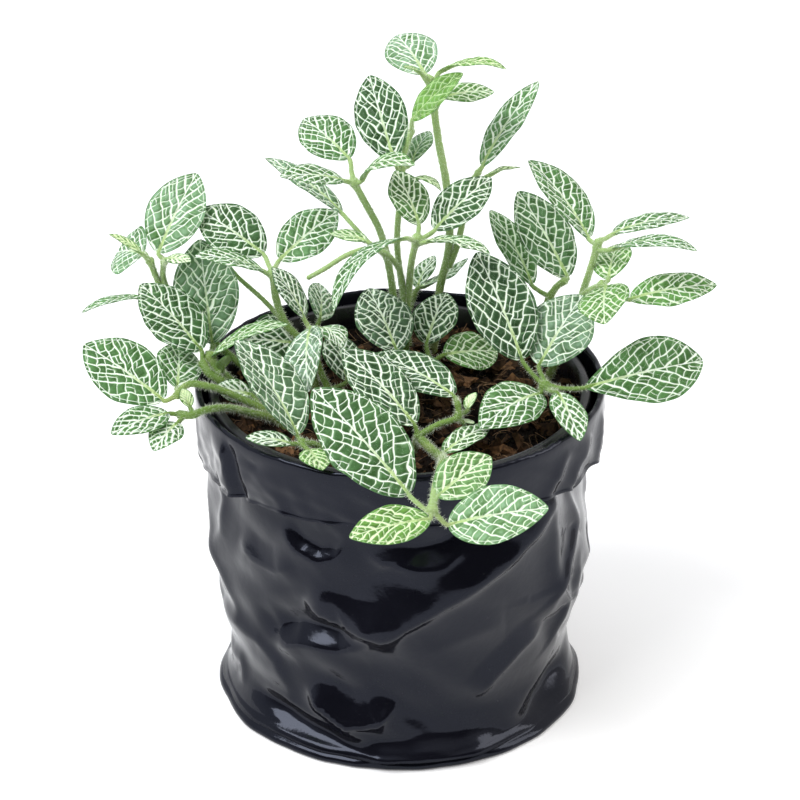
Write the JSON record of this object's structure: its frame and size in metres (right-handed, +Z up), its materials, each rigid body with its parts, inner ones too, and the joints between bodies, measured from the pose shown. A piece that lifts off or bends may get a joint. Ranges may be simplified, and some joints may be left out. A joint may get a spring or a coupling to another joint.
{
  "type": "potted nerve plant",
  "caption": "Net-veined foliage plant rooted in a nursery pot that stands in a soft black bag planter with a folded-down cuff, for a table or shelf.",
  "frame": {"origin": "middle of the bag planter's flat underside, on the surface that it stands on", "axes": "+Z up, -Y towards the front with the trailing leaves, +X to the right seen from the front"},
  "size_m": [0.2154, 0.1674, 0.2208],
  "materials": {
    "black_vinyl": "gloss",
    "black_pot": "satin",
    "soil": "matte",
    "stem": "satin",
    "leaf": "satin",
    "young_leaf": "satin"
  },
  "bodies": {
    "root": {"bag_planter": "black_vinyl", "nursery_pot": "black_pot", "potting_soil": "soil", "stem_tall_back": "stem", "stem_high_left": "stem", "stem_middle": "stem", "stem_back_middle": "stem", "stem_left_back": "stem", "stem_inner_left": "stem", "stem_far_left": "stem", "stem_left": "stem", "stem_left_trailing_upper": "stem", "stem_left_trailing_lower": "stem", "stem_front_left": "stem", "stem_front": "stem", "stem_right_front": "stem", "stem_right_back": "stem", "stem_right_tall": "stem", "stem_centre": "stem", "stem_back_low": "stem", "stem_left_low": "stem", "leaf_top_round": "leaf", "leaf_high_right": "leaf", "leaf_high_dark": "leaf", "leaf_high_green": "young_leaf", "leaf_high_left_back": "leaf", "leaf_middle_upright": "leaf", "leaf_middle_right": "leaf", "leaf_middle_drooping": "leaf", "leaf_left_back_dark": "leaf", "leaf_left_back_edge": "leaf", "leaf_left_back_pale": "leaf", "leaf_inner_left_dark": "leaf", "leaf_inner_left_folded": "leaf", "leaf_far_left_pale": "leaf", "leaf_far_left_broad": "leaf", "leaf_left_low_broad": "leaf", "leaf_left_upright": "leaf", "leaf_trailing_broad": "leaf", "leaf_trailing_back": "leaf", "leaf_trailing_front": "leaf", "leaf_front_left_folded": "leaf", "leaf_front_inner": "leaf", "leaf_front_inner_dark": "leaf", "leaf_front_large": "leaf", "leaf_front_down": "young_leaf", "leaf_front_up": "young_leaf", "leaf_front_right": "leaf", "leaf_right_large": "leaf", "leaf_right_broad": "leaf", "leaf_right_upright": "leaf", "leaf_right_low": "leaf", "leaf_right_back_tall": "leaf", "leaf_right_back_narrow": "leaf", "leaf_right_tall_folded": "leaf", "leaf_right_tall_arched": "leaf", "leaf_right_side_front": "leaf", "leaf_right_side_long": "leaf", "leaf_centre_broad": "leaf", "leaf_back_low_upright": "leaf"}
  },
  "joints": []
}
